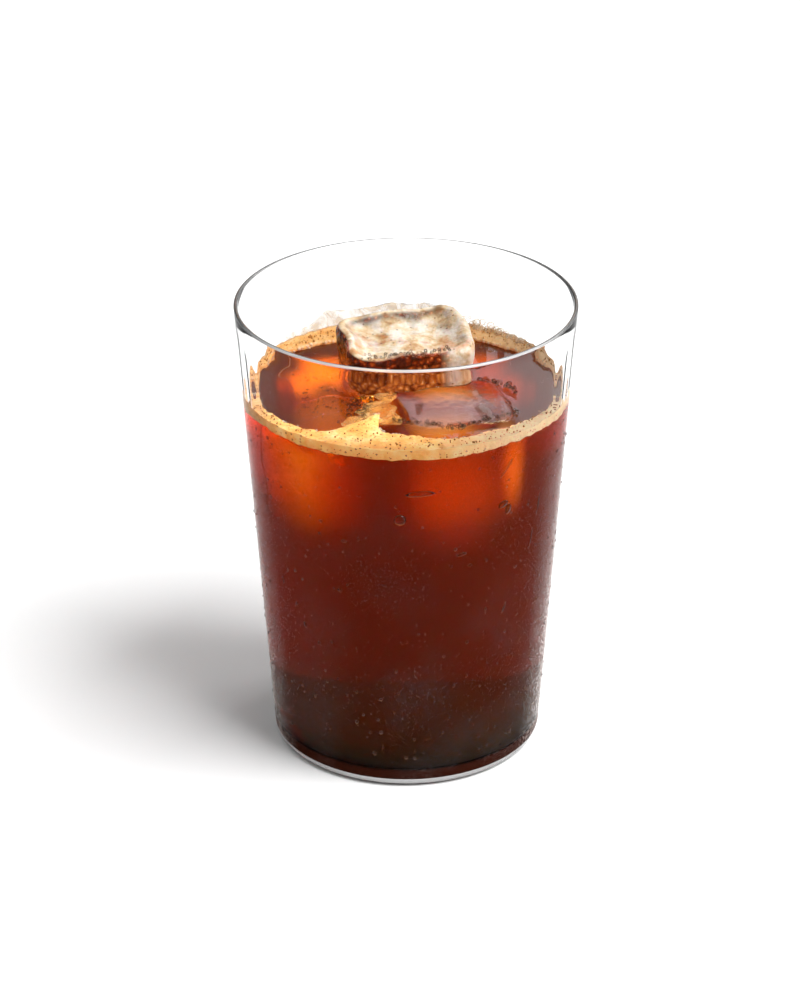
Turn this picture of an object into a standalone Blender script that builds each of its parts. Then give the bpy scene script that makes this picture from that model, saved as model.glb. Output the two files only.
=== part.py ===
"""Iced espresso and tonic in a clear tumbler: ribbed glass, drink, crema and two ice cubes.

The origin is the centre of the glass's foot, on the table, with +Z up and -Y towards the drinker.
"""

import math

import bmesh
import bpy
from mathutils import Euler, Matrix, Vector

MM = 0.001
MERGE = 0.01 * MM

# Driving dimensions of the glass
RIM_RADIUS = 40.0 * MM
HEIGHT = 112.0 * MM
FOOT_RADIUS = 32.4 * MM
FOOT_ROUND = 2.4 * MM
RIM_WALL = 1.0 * MM
FOOT_WALL = 1.5 * MM
FLOOR = 3.4 * MM
FLOOR_FILLET = 3.5 * MM
PUNT_RADIUS = 20.0 * MM
PUNT_DEPTH = 0.8 * MM

# Optic ribs, moulded inside the wall between the floor's fillet and the lip; the outside is smooth
RIBS = 40
RIB_DEPTH = 0.2 * MM
RIB_FOOT = FLOOR + FLOOR_FILLET
RIB_TOP = HEIGHT - 4.0 * MM
RIB_FADE = 5.0 * MM
STEPS_PER_RIB = 4

# Contents, each clear of its neighbours by the gap
GAP = 0.3 * MM
LEVEL = 89.6 * MM
DRINK_STEPS = 80

# The crema's section: share of the way in from the wall, and height over the drink's level
CREMA_SECTION = (
    (0.0, -0.5 * MM),
    (0.45, -0.6 * MM),
    (0.85, -0.5 * MM),
    (1.0, 0.1 * MM),
    (0.93, 0.8 * MM),
    (0.6, 1.3 * MM),
    (0.2, 1.4 * MM),
    (0.0, 1.9 * MM),
)
CREMA_STEPS = 108
CREMA_WIDE = 31.4
CREMA_OVAL = 2.9
CREMA_SHIFT = 0.8

# Each cube: middle of the top face, width, depth and height, and turn about X, Y and Z in degrees
ICE_TOP = ((0.0 * MM, 8.2 * MM, 100.9 * MM), (30.8 * MM, 24.5 * MM, 27.0 * MM), (5.0, -2.0, 13.0))
ICE_FRONT = ((11.0 * MM, -9.2 * MM, 90.5 * MM), (25.8 * MM, 25.6 * MM, 26.0 * MM), (0.0, 0.0, 13.0))
ICE_TOP_DISH = 2.2 * MM
ICE_FRONT_DISH = 0.2 * MM
ICE_TAPER = 0.88
ICE_CORNER = 5.5 * MM
ICE_EDGE = 2.0 * MM
ICE_DISH_RINGS = ((0.84, 0.6), (0.72, 1.0))
ICE_BANDS = (-0.2, 0.15)
MELT = 0.35 * MM
MELT_WAVE = 15.0 * MM

# Colours of the finished object, linear RGB
GLASS_TINT = (0.93, 0.95, 0.95)
COFFEE = (0.12, 0.022, 0.006)
FOAM = (0.75, 0.46, 0.2)
ICE_TINT = (0.9, 0.92, 0.93)


def clear_scene():
    for obj in list(bpy.data.objects):
        bpy.data.objects.remove(obj)


def make_collection(name):
    collection = bpy.data.collections.new(name)
    bpy.context.scene.collection.children.link(collection)
    return collection


def make_material(name, colour, roughness, transmission=0.0, ior=1.45):
    material = bpy.data.materials.new(name)
    material.use_nodes = True
    shader = material.node_tree.nodes["Principled BSDF"]
    shader.inputs["Base Color"].default_value = (*colour, 1.0)
    shader.inputs["Roughness"].default_value = roughness
    shader.inputs["Metallic"].default_value = 0.0
    shader.inputs["Transmission Weight"].default_value = transmission
    shader.inputs["IOR"].default_value = ior
    return material


def add_object(name, mesh, collection, material=None):
    obj = bpy.data.objects.new(name, mesh)
    collection.objects.link(obj)
    if material:
        mesh.materials.append(material)
    return obj


def outer_radius(z):
    """The radius of the straight, tapered outer wall at a height."""
    return FOOT_RADIUS + (RIM_RADIUS - FOOT_RADIUS) * z / HEIGHT


def inner_radius(z):
    """The radius of the inner wall at a height, between the ribs."""
    share = z / HEIGHT
    return outer_radius(z) - FOOT_WALL - (RIM_WALL - FOOT_WALL) * share


def arc(centre, radius, start, end, steps):
    """Points of a round stretch of a profile, angles in radians from the radial axis."""
    points = []
    for i in range(steps + 1):
        angle = start + (end - start) * i / steps
        points.append((centre[0] + radius * math.cos(angle), centre[1] + radius * math.sin(angle)))
    return points


def glass_profile():
    """The half section: up the inside, over the lip, down the outside and in to the axis."""
    taper = math.atan2(RIM_RADIUS - FOOT_RADIUS, HEIGHT)
    fillet_centre = (inner_radius(RIB_FOOT) - FLOOR_FILLET, RIB_FOOT)
    fillet = arc(fillet_centre, FLOOR_FILLET, -math.pi / 2, -taper, 3)
    fades = (RIB_FADE * 0.35, RIB_FADE)
    walls = [RIB_FOOT + fade for fade in fades] + [RIB_TOP - fade for fade in reversed(fades)]
    walls.append(RIB_TOP)
    lip_radius = RIM_WALL / 2
    lip_z = HEIGHT - lip_radius
    lip = arc((outer_radius(lip_z) - lip_radius, lip_z), lip_radius, math.pi - taper, -taper, 4)
    foot_centre = (outer_radius(FOOT_ROUND) - FOOT_ROUND, FOOT_ROUND)
    foot = arc(foot_centre, FOOT_ROUND, -taper, -math.pi / 2, 3)
    return [
        (0.0, FLOOR),
        *fillet,
        *[(inner_radius(z), z) for z in walls],
        *lip,
        *foot,
        (PUNT_RADIUS, 0.0),
        (PUNT_RADIUS * 0.8, PUNT_DEPTH),
        (0.0, PUNT_DEPTH),
    ]


def turned_mesh(name, profile, steps, collection):
    """The mesh of a profile turned round the Z axis by a Screw modifier."""
    mesh = bpy.data.meshes.new(name + "_profile")
    vertices = [(r, 0.0, z) for r, z in profile]
    mesh.from_pydata(vertices, [(i, i + 1) for i in range(len(vertices) - 1)], [])
    guide = add_object(name + "_profile", mesh, collection)
    screw = guide.modifiers.new("Turn", "SCREW")
    screw.axis = "Z"
    screw.steps = steps
    screw.render_steps = steps
    screw.use_merge_vertices = True
    screw.merge_threshold = MERGE
    bpy.context.view_layer.update()
    evaluated = guide.evaluated_get(bpy.context.evaluated_depsgraph_get())
    turned = bpy.data.meshes.new_from_object(evaluated)
    turned.name = name
    bpy.data.objects.remove(guide)
    solid = bmesh.new()
    solid.from_mesh(turned)
    bmesh.ops.remove_doubles(solid, verts=solid.verts, dist=MERGE)
    bmesh.ops.recalc_face_normals(solid, faces=solid.faces)
    solid.to_mesh(turned)
    solid.free()
    turned.shade_smooth()
    turned.set_sharp_from_angle(angle=math.radians(50))
    return turned


def rib_depth(angle, z):
    """How far a rib stands in from the wall: it fades out towards the lip and the floor."""
    fade = max(0.0, min(1.0, (z - RIB_FOOT) / RIB_FADE, (RIB_TOP - z) / RIB_FADE))
    return RIB_DEPTH * fade * (0.5 + 0.5 * math.cos(RIBS * angle))


def make_glass(collection):
    """The tumbler: turned first, then its inner wall is drawn in along the ribs."""
    mesh = turned_mesh("glass", glass_profile(), RIBS * STEPS_PER_RIB, collection)
    for vertex in mesh.vertices:
        radius = vertex.co.xy.length
        on_inner_wall = abs(radius - inner_radius(vertex.co.z)) < RIM_WALL / 10
        if on_inner_wall and vertex.co.z > RIB_FOOT:
            angle = math.atan2(vertex.co.y, vertex.co.x)
            vertex.co.xy *= 1.0 - rib_depth(angle, vertex.co.z) / radius
    return add_object("glass", mesh, collection, make_material("clear_glass", GLASS_TINT, 0.0, 1.0, 1.5))


def contents_radius(z):
    """The radius that clears the ribs by the gap."""
    return inner_radius(z) - RIB_DEPTH - GAP


def melted(point):
    """A point of a cube's skin moved a little, so that no two edges are alike."""
    turn = 2 * math.pi / MELT_WAVE
    return point + MELT * Vector(
        (
            math.sin(turn * point.y + 1.3),
            math.sin(turn * point.z + 0.4),
            math.sin(turn * point.x + 2.2),
        )
    )


def ice_mesh(name, cube, dish, grow):
    """A moulded cube: narrower below, round corners, softened edges, and its open face dished."""
    (x, y, top), (width, depth, height), turn = cube
    body = bmesh.new()
    bmesh.ops.create_cube(body, size=1.0)
    for vertex in body.verts:
        share = ICE_TAPER if vertex.co.z < 0 else 1.0
        vertex.co *= Vector((width * share, depth * share, height))
    upright = [edge for edge in body.edges if edge.verts[0].co.z * edge.verts[1].co.z < 0]
    bmesh.ops.bevel(body, geom=upright, offset=ICE_CORNER, segments=4, profile=0.5, affect="EDGES")
    ends = [face for face in body.faces if abs(face.normal.z) > 0.99]
    rims = [edge for face in ends for edge in face.edges]
    bmesh.ops.bevel(body, geom=rims, offset=ICE_EDGE, segments=2, profile=0.5, affect="EDGES")
    open_face = max(body.faces, key=lambda face: face.calc_center_median().z)
    for shrink, share in ICE_DISH_RINGS:
        bmesh.ops.inset_individual(body, faces=[open_face], thickness=0.0)
        for vertex in open_face.verts:
            vertex.co *= Vector((shrink, shrink, 1.0))
            vertex.co.z = height / 2 - dish * share
    for share in ICE_BANDS:
        whole = body.verts[:] + body.edges[:] + body.faces[:]
        bmesh.ops.bisect_plane(body, geom=whole, plane_co=(0, 0, share * height), plane_no=(0, 0, 1))
    for vertex in body.verts:
        vertex.co = melted(vertex.co)
    body.normal_update()
    for vertex, normal in [(v, v.normal.copy()) for v in body.verts]:
        vertex.co += normal * grow
    rotation = Euler([math.radians(a) for a in turn]).to_matrix().to_4x4()
    place = Matrix.Translation((x, y, top)) @ rotation @ Matrix.Translation((0, 0, -height / 2))
    bmesh.ops.transform(body, matrix=place, verts=body.verts)
    bmesh.ops.triangulate(body, faces=body.faces)
    mesh = bpy.data.meshes.new(name)
    body.to_mesh(mesh)
    body.free()
    mesh.shade_smooth()
    mesh.set_sharp_from_angle(angle=math.radians(40))
    return mesh


def bump(angle, centre, width):
    """A smooth hump round an angle, both in degrees."""
    away = (angle - centre + 180.0) % 360.0 - 180.0
    return math.exp(-((away / width) ** 2))


def crema_inner_edge(degrees):
    """The crema's inner radius: wide in front and behind, thin at the sides, with a tongue to the ice."""
    angle = math.radians(degrees)
    radius = CREMA_WIDE + CREMA_OVAL * math.cos(2 * angle) + CREMA_SHIFT * math.cos(angle)
    radius += 0.45 * math.sin(5 * angle + 0.7) + 0.3 * math.sin(11 * angle + 2.1)
    radius -= 2.0 * bump(degrees, -97, 16)
    radius -= 12.5 * bump(degrees, -114, 8)
    return radius * MM


def crema_lift(degrees):
    """The crema is uneven: it climbs at the right front and hangs down the wall at the left."""
    wave = 0.15 * math.sin(math.radians(7 * degrees) + 1.0)
    return (wave + 0.35 * bump(degrees, -50, 16) - 1.6 * bump(degrees, -176, 15)) * MM


def crema_mesh(name, grow):
    """The ring of crema: the section lofted between the wall and the uneven inner edge."""
    ring = bmesh.new()
    heights = [height for _, height in CREMA_SECTION]
    middle = (min(heights) + max(heights)) / 2
    rows = []
    for step in range(CREMA_STEPS):
        degrees = 360.0 * step / CREMA_STEPS
        angle = math.radians(degrees)
        edge = crema_inner_edge(degrees) - grow
        row = []
        for share, height in CREMA_SECTION:
            z = LEVEL + height
            if height < middle:
                z += crema_lift(degrees)
            wall = contents_radius(z) + grow
            radius = wall + (edge - wall) * share
            z += grow if height > middle else -grow
            row.append(ring.verts.new((radius * math.cos(angle), radius * math.sin(angle), z)))
        rows.append(row)
    for row, other in zip(rows, rows[1:] + rows[:1]):
        for j, corner in enumerate(row):
            k = (j + 1) % len(row)
            ring.faces.new((corner, row[k], other[k], other[j]))
    mesh = bpy.data.meshes.new(name)
    ring.to_mesh(mesh)
    ring.free()
    mesh.shade_smooth()
    return mesh


def cut(obj, cutter):
    boolean = obj.modifiers.new("Clear_" + cutter.name, "BOOLEAN")
    boolean.operation = "DIFFERENCE"
    boolean.object = cutter


def make_cutter(name, mesh, collection):
    obj = add_object(name, mesh, collection)
    obj.hide_render = True
    obj.display_type = "WIRE"
    return obj


def drink_profile():
    """The half section of the drink: its level top, the wall and the filleted floor."""
    floor = FLOOR + GAP
    fillet = FLOOR_FILLET - GAP
    fillet_centre = (contents_radius(floor + fillet) - fillet, floor + fillet)
    return [
        (0.0, LEVEL),
        (contents_radius(LEVEL), LEVEL),
        *arc(fillet_centre, fillet, 0.0, -math.pi / 2, 3),
        (0.0, floor),
    ]


def make_drink(collection, cutters):
    """The drink up to its level, with a hollow for each cube and a seat for the crema."""
    mesh = turned_mesh("drink", drink_profile(), DRINK_STEPS, collection)
    obj = add_object("drink", mesh, collection, make_material("coffee", COFFEE, 0.05, 0.6, 1.34))
    for cutter in cutters:
        cut(obj, cutter)


def main():
    clear_scene()
    parts = make_collection("espresso_tonic")
    tools = make_collection("cutters")
    ice_material = make_material("ice", ICE_TINT, 0.05, 1.0, 1.31)
    foam_material = make_material("crema", FOAM, 0.7)

    make_glass(parts)
    add_object("ice_top", ice_mesh("ice_top", ICE_TOP, ICE_TOP_DISH, 0.0), parts, ice_material)
    ice_front = add_object(
        "ice_front", ice_mesh("ice_front", ICE_FRONT, ICE_FRONT_DISH, 0.0), parts, ice_material
    )
    top_cutter = make_cutter("ice_top_cutter", ice_mesh("ice_top_cutter", ICE_TOP, ICE_TOP_DISH, GAP), tools)
    front_cutter = make_cutter(
        "ice_front_cutter", ice_mesh("ice_front_cutter", ICE_FRONT, ICE_FRONT_DISH, GAP), tools
    )
    cut(ice_front, top_cutter)
    crema = add_object("crema", crema_mesh("crema", 0.0), parts, foam_material)
    cut(crema, top_cutter)
    cut(crema, front_cutter)
    crema_cutter = make_cutter("crema_cutter", crema_mesh("crema_cutter", GAP), tools)
    make_drink(parts, [crema_cutter, top_cutter, front_cutter])


main()
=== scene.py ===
"""Iced espresso and tonic in a ribbed tumbler: shapes and finishes of every visible surface.

Laid out as an add-on: settings, an operator for each piece, a panel that lists them, and a main
function that runs the operators in order.
"""

import math
import random

import bmesh
import bpy
import numpy as np
from mathutils import Euler, Matrix, Vector, noise
from mathutils.bvhtree import BVHTree


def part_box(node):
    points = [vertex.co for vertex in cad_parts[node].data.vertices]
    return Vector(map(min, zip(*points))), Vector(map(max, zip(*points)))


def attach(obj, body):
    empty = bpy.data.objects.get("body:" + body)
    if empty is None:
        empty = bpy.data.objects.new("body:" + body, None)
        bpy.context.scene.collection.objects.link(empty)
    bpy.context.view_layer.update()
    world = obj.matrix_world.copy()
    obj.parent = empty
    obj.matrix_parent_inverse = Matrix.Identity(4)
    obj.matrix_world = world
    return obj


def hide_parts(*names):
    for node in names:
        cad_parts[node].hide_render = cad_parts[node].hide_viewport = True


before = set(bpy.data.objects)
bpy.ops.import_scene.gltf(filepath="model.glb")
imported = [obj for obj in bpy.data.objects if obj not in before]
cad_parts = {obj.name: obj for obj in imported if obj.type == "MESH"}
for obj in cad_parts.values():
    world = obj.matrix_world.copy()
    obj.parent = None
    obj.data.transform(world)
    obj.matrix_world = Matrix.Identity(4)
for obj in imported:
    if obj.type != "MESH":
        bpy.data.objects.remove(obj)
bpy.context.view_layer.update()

bl_info = {
    "name": "Espresso Tonic",
    "version": (1, 0, 0),
    "blender": (4, 5, 0),
    "location": "3D View > Sidebar > Espresso Tonic",
    "description": "Models an iced espresso and tonic in its ribbed tumbler",
    "category": "Add Mesh",
}

MM = 0.001

# The tumbler's section, as its solid has it
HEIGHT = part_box("glass")[1].z
# The height over which the wall tapers
TALL = 0.112
RIM_RADIUS = 40.0 * MM
FOOT_RADIUS = 32.4 * MM
FOOT_ROUND = 2.4 * MM
RIM_WALL = 1.0 * MM
FOOT_WALL = 1.5 * MM
FLOOR = 3.4 * MM
FLOOR_FILLET = 1.6 * MM
TAPER = math.atan2(RIM_RADIUS - FOOT_RADIUS, TALL)
PUNT_RADIUS = 20.0 * MM
PUNT_DEPTH = 0.8 * MM
AXIS_RING = 0.5 * MM

RIBS = 40
RIB_TOP = HEIGHT - 4.0 * MM
RIB_FOOT = FLOOR + FLOOR_FILLET
RIB_FADE = 6.0 * MM
GAP = 0.3 * MM
# The paper lies this far under the foot, so that light can travel in the glass above it
FLOOR_GAP = 0.05 * MM
MENISCUS = 0.7 * MM
MENISCUS_REACH = 0.8 * MM
# The drink's surface rises against the ice only within this radius
OPEN_RADIUS = 34.0 * MM
STEPS_PER_RIB = 8
STEPS = RIBS * STEPS_PER_RIB

LEVEL = 89.6 * MM
# How strongly each thing bends light
GLASS_IOR = 1.5
DRINK_IOR = 1.34
WATER_IOR = 1.33
ICE_IOR = 1.31
# What fills the glass reaches this far into the wall, so that no air gap shows
REACH = 0.1 * MM
# Surfaces this far under the level count as wetted, so that the level itself stays a mirror
WET_MARGIN = 0.02 * MM
# The lip and the foot of the glass carry a painted highlight, white light painted in, over these heights
LIP_BAND = 1.0 * MM
FOOT_BAND = (0.6 * MM, 2.4 * MM)
# The way along which the painted highlight in the lip and the foot grows: the way that light takes through
# the glass
LIGHT_WAY = (-0.35, -0.94, 0.0)

# Each cube: middle of the top face, width, depth and height, turn in degrees, and how deep it is dished
CUBES = {
    "ice_top": ((0.0, 8.2, 100.9), (30.8, 24.5, 27.0), (5.0, -2.0, 13.0), 2.2),
    "ice_front": ((11.0, -9.2, 90.5), (25.8, 25.6, 26.0), (0.0, 0.0, 13.0), 0.2),
    "ice_left": ((-18.2, -11.6, 86.4), (20.0, 20.5, 24.0), (4.0, -5.0, 33.0), 0.8),
    "ice_back": ((-19.0, 12.0, 86.0), (21.0, 21.0, 24.0), (-3.0, -4.0, 20.0), 0.6),
}
ICE_TAPER = 0.88
ICE_CORNER = 5.5 * MM
ICE_EDGE = 2.0 * MM
ICE_VOXEL = 0.6 * MM
# The dish: each ring's size against the last one, and its share of the depth
DISH_RINGS = ((0.84, 0.6), (0.72, 0.4))
# Clouds of haze with a painted glow, mostly in the sunk ice, where the haze is fine air, and some in the
# drink: middle, half sizes, haze and glow per metre
CLOUDS = {
    "ice_left_air": ((-17.0, -13.0, 74.0), (15.0, 11.0, 18.0), 110.0, 38.0),
    "ice_back_air": ((-18.5, 17.0, 82.0), (10.0, 10.0, 7.4), 130.0, 240.0),
    "ice_front_air": ((8.5, -15.0, 73.0), (15.0, 10.0, 20.0), 130.0, 50.0),
    "ice_core_air": ((9.5, 1.0, 84.5), (11.0, 7.0, 4.5), 160.0, 85.0),
    "gap_air": ((-5.0, -8.0, 83.5), (5.5, 9.0, 5.5), 160.0, 90.0),
    "left_back_air": ((-25.0, 11.5, 81.0), (7.5, 10.0, 7.0), 90.0, 190.0),
    "left_air": ((-20.0, 0.0, 80.0), (13.0, 12.0, 8.5), 90.0, 34.0),
    "streak_air": ((22.6, -22.0, 81.0), (4.0, 4.0, 15.0), 60.0, 160.0),
    "right_air": ((24.0, 9.0, 79.0), (9.0, 12.0, 8.0), 90.0, 50.0),
    "right_back_air": ((17.5, 19.5, 82.0), (9.5, 9.0, 8.0), 90.0, 110.0),
}
MELT = 0.35 * MM
MELT_WAVE = 15.0 * MM

# The crema's section: share of the way in from the wall, and height over the drink's level
CREMA_SECTION = (
    (0.0, -0.5),
    (0.45, -0.6),
    (0.85, -0.5),
    (1.0, 0.1),
    (0.93, 0.8),
    (0.6, 1.3),
    (0.2, 1.4),
    (0.0, 1.9),
)
CREMA_STEPS = 720
FILM_STEPS = 240
SURFACE_RINGS = 60
GAS_COUNT = 160
CLUSTER_COUNT = 70
SPECK_COUNT = 130
WALL_BUBBLES = 44
EDGE_BUBBLES = 320
CREMA_SPECKS = 1500
# Lines of beads on the ice, in mm, their number and their radii
ICE_EDGES = (
    (((-3.5, -18.0, 90.3), (11.6, -23.0, 90.4), (25.6, -14.3, 90.3)), 110, (0.2, 0.5)),
    (((-10.0, -6.5, 100.4), (0.0, -5.2, 100.6), (11.0, -2.4, 100.8)), 70, (0.2, 0.45)),
    (((17.5, 3.5, 90.3), (24.0, 1.0, 90.2), (25.5, -3.5, 90.2)), 40, (0.25, 0.55)),
)
# The film that the pour left on the back wall: angle, and height of its edge over the level
FILM_EDGE = (
    (66, 1.0),
    (74, 3.6),
    (81, 6.1),
    (88, 6.0),
    (100, 5.7),
    (108, 5.3),
    (115, 5.7),
    (121, 6.1),
    (128, 3.9),
    (135, 3.4),
    (148, 2.8),
    (160, 1.6),
    (172, 0.6),
)
FILM_DEPTH = 0.25 * MM
FILM_ROUNDS = 8
# The film thins out over this many steps at either end, and reaches this far under the level
FILM_ENDS = 12
FILM_UNDER = 0.3 * MM
# Rafts of thin foam between the cubes: middle, half sizes and turn
RAFTS = (
    ((-6.5, -13.0), (4.2, 6.5), 20.0),
    ((-4.5, -4.5), (2.6, 4.5), -5.0),
    ((-10.5, -18.5), (4.5, 3.0), 15.0),
)

# Single drops on the outside: angle, height, half width, half height, lean
DROPS = (
    (-92.3, 73.9, 1.5, 1.5, 0),
    (-85.4, 80.6, 3.6, 0.8, 3),
    (-54.0, 74.3, 1.5, 0.9, 20),
    (-51.6, 72.6, 0.8, 1.5, -12),
    (-53.4, 83.6, 0.35, 2.8, -38),
    (-70.0, 63.6, 1.3, 0.5, 10),
    (-72.4, 65.2, 0.5, 0.5, 0),
    (-66.6, 60.3, 0.6, 0.4, 0),
    (-112.8, 66.9, 0.8, 0.4, 0),
    (-115.3, 53.4, 0.7, 0.5, 0),
    (-66.5, 39.4, 0.45, 0.5, 0),
    (-132.5, 40.8, 0.45, 0.9, 25),
    (-46.0, 56.0, 0.6, 0.4, 0),
    (-38.0, 62.0, 0.3, 2.6, -6),
    (-35.0, 70.0, 0.25, 3.4, -8),
    (-50.5, 46.0, 0.3, 1.6, -20),
)
# Fogged patches on the outside: middle angle and height, half width in degrees, half height, density
FOG_PATCHES = (
    (-99.0, 56.0, 20.0, 10.0, 0.9),
    (-56.0, 30.0, 18.0, 10.0, 0.6),
    (-50.0, 66.0, 12.0, 11.0, 0.45),
    (-118.0, 79.0, 8.0, 2.2, 0.9),
    (-85.0, 24.0, 60.0, 20.0, 0.25),
    (-148.0, 50.0, 14.0, 42.0, 0.6),
    (-33.0, 50.0, 14.0, 42.0, 0.6),
    (90.0, 50.0, 110.0, 42.0, 0.12),
)
# Distance between beads of fog in mm, before chance moves them
FOG_STEP = 0.85
# Gas bubbles on the inside of the wall: angle, height, radius
GAS_BUBBLES = (
    (-100.7, 24.1, 0.45),
    (-108.4, 19.2, 0.35),
    (-111.5, 16.8, 0.5),
    (-102.1, 18.3, 0.4),
    (-101.0, 14.7, 0.5),
    (-103.8, 8.4, 0.45),
    (-90.5, 7.8, 0.5),
    (-86.7, 7.6, 0.4),
    (-66.9, 7.5, 0.45),
    (-57.4, 7.4, 0.35),
    (-53.2, 7.6, 0.4),
    (-39.6, 8.4, 0.5),
    (-124.4, 26.2, 0.35),
    (-125.1, 29.2, 0.35),
)

# The photograph's camera: focal length, place and view direction, from the fitted rim and foot
LENS = 108.16
CAMERA_PLACE = (-1.51 * MM, -643.6 * MM, 380.7 * MM)
CAMERA_PITCH = 26.46
CAMERA_ROLL = 0.169

# The lights: place, the point they look at, size and power
LIGHTS = {
    "key_softbox": ((1.03, -0.62, 1.75), (0, 0, 0.03), (1.3, 1.3), 62.0),
    "side_softbox": ((1.2, 0.9, 1.3), (0, 0, 0.03), (0.8, 0.8), 8.0),
    "left_panel": ((-1.35, -0.1, 0.4), (0, 0, 0.08), (1.8, 1.0), 4.5),
    "right_panel": ((1.45, -0.1, 0.4), (0, 0, 0.08), (1.8, 1.0), 4.5),
    "back_panel": ((0.75, 1.7, 0.95), (0.1, 0, 0.05), (1.4, 0.9), 5.0),
}
ROOM_LIGHT = 0.25
SWEEP_SIZE = 4.0


def linear(hex_colour):
    """An sRGB hex colour as linear RGBA."""
    channels = [int(hex_colour[i : i + 2], 16) / 255 for i in (1, 3, 5)]
    return (*[c / 12.92 if c <= 0.04045 else ((c + 0.055) / 1.055) ** 2.4 for c in channels], 1.0)


def outer_radius(z):
    return FOOT_RADIUS + (RIM_RADIUS - FOOT_RADIUS) * z / TALL


def inner_radius(z):
    return outer_radius(z) - FOOT_WALL - (RIM_WALL - FOOT_WALL) * z / TALL


def rib_depth(angle, z):
    """How far a rib stands in from the wall: it fades out towards the lip and the floor."""
    fade = max(0.0, min(1.0, (z - RIB_FOOT) / RIB_FADE, (RIB_TOP - z) / RIB_FADE))
    fade = fade * fade * (3 - 2 * fade)
    return fade * (0.5 + 0.5 * math.cos(RIBS * angle))


def arc(centre, radius, start, end, steps):
    points = []
    for i in range(steps + 1):
        angle = start + (end - start) * i / steps
        points.append((centre[0] + radius * math.cos(angle), centre[1] + radius * math.sin(angle)))
    return points


def straight(start, end, steps):
    """Points between two points of a section, without the ends."""
    return [
        tuple(a + (b - a) * i / steps for a, b in zip(start, end)) for i in range(1, steps)
    ]


def deselect():
    bpy.ops.object.select_all(action="DESELECT")


def give_finish(obj, test, finish):
    """A second finish for the faces that pass a test on their centre."""
    obj.data.materials.append(finish)
    index = len(obj.data.materials) - 1
    for face in obj.data.polygons:
        if test(face.center):
            face.material_index = index


def finish_piece(obj, name, finish, replaced=None, angle=40):
    """Every piece ends alike: named, smooth, riding on the body and its node."""
    obj.name = name
    obj.data.name = name
    obj.data.materials.clear()
    obj.data.materials.append(finish)
    obj.data.polygons.foreach_set("material_index", [0] * len(obj.data.polygons))
    deselect()
    obj.select_set(True)
    bpy.context.view_layer.objects.active = obj
    bpy.ops.object.transform_apply(location=True, rotation=True, scale=True)
    bpy.ops.object.shade_smooth_by_angle(angle=math.radians(angle))
    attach(obj, "root")
    if replaced:
        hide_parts(replaced)
    return obj


def apply_modifier(obj, kind, **settings):
    deselect()
    obj.select_set(True)
    bpy.context.view_layer.objects.active = obj
    modifier = obj.modifiers.new(kind.title(), kind)
    for key, value in settings.items():
        setattr(modifier, key, value)
    bpy.ops.object.modifier_apply(modifier=modifier.name)


def turn_section(section, steps=STEPS):
    """A closed turned shape: a disc on the axis, extruded ring by ring along a half section."""
    deselect()
    radius, z = section[0]
    bpy.ops.mesh.primitive_circle_add(vertices=steps, radius=radius, fill_type="NGON", location=(0, 0, z))
    obj = bpy.context.object
    bpy.ops.object.transform_apply(location=True)
    bpy.ops.object.mode_set(mode="EDIT")
    bpy.ops.mesh.select_all(action="SELECT")
    for (r0, z0), (r1, z1) in zip(section, section[1:]):
        bpy.ops.mesh.extrude_region_move(TRANSFORM_OT_translate={"value": (0, 0, z1 - z0)})
        share = r1 / r0
        bpy.ops.transform.resize(value=(share, share, 1), center_override=(0, 0, z1))
    bpy.ops.mesh.select_all(action="SELECT")
    bpy.ops.mesh.normals_make_consistent(inside=False)
    bpy.ops.object.mode_set(mode="OBJECT")
    return obj


def add_ribs(obj, depth, near):
    """Draws the inner wall in along the ribs: a vertex group with their shape drives a Displace."""
    group = obj.vertex_groups.new(name="ribs")
    for vertex in obj.data.vertices:
        x, y, z = vertex.co
        if z > RIB_FOOT and abs(math.hypot(x, y) - inner_radius(z) - near) < 0.05 * MM:
            weight = rib_depth(math.atan2(y, x), z)
            if weight > 0:
                group.add([vertex.index], weight, "REPLACE")
    apply_modifier(obj, "DISPLACE", strength=depth, mid_level=0.0, direction="NORMAL", vertex_group="ribs")


def material(name):
    made = bpy.data.materials.new(name)
    made.use_nodes = True
    made.node_tree.nodes.clear()
    return made, made.node_tree


def add(tree, kind, settings=None, **links):
    """Adds one node: settings are its properties, links its inputs, as values or as outputs."""
    node = tree.nodes.new("ShaderNode" + kind)
    for key, value in (settings or {}).items():
        setattr(node, key, value)
    for key, value in links.items():
        socket = next(s for s in node.inputs if s.identifier == key or s.name.replace(" ", "_") == key)
        if isinstance(value, bpy.types.NodeSocket):
            tree.links.new(value, socket)
        else:
            socket.default_value = value
    return node


def ramp(tree, source, stops):
    node = add(tree, "ValToRGB", Fac=source)
    while len(node.color_ramp.elements) < len(stops):
        node.color_ramp.elements.new(0.5)
    for element, (place, colour) in zip(node.color_ramp.elements, stops):
        element.position = place
        element.color = linear(colour) if isinstance(colour, str) else (colour, colour, colour, 1)
    return node.outputs["Color"]


def output(tree, surface, volume=None):
    node = add(tree, "OutputMaterial", Surface=surface)
    if volume:
        tree.links.new(volume, node.inputs["Volume"])


def mix(tree, factor, first, second):
    node = add(tree, "MixShader", Fac=factor)
    tree.links.new(first, node.inputs[1])
    tree.links.new(second, node.inputs[2])
    return node.outputs[0]


def sums(tree, kind, first, *others):
    """Several values put together by one operation, such as a sum or a product."""
    for other in others:
        first = add(tree, "Math", {"operation": kind}, Value=first, Value_001=other).outputs[0]
    return first


def span(tree, place, axis, start, end, **ends):
    """A value that goes from one end to the other between two places along an axis."""
    along = add(tree, "SeparateXYZ", Vector=place).outputs[axis]
    return add(tree, "MapRange", Value=along, From_Min=start, From_Max=end, **ends).outputs[0]


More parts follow.
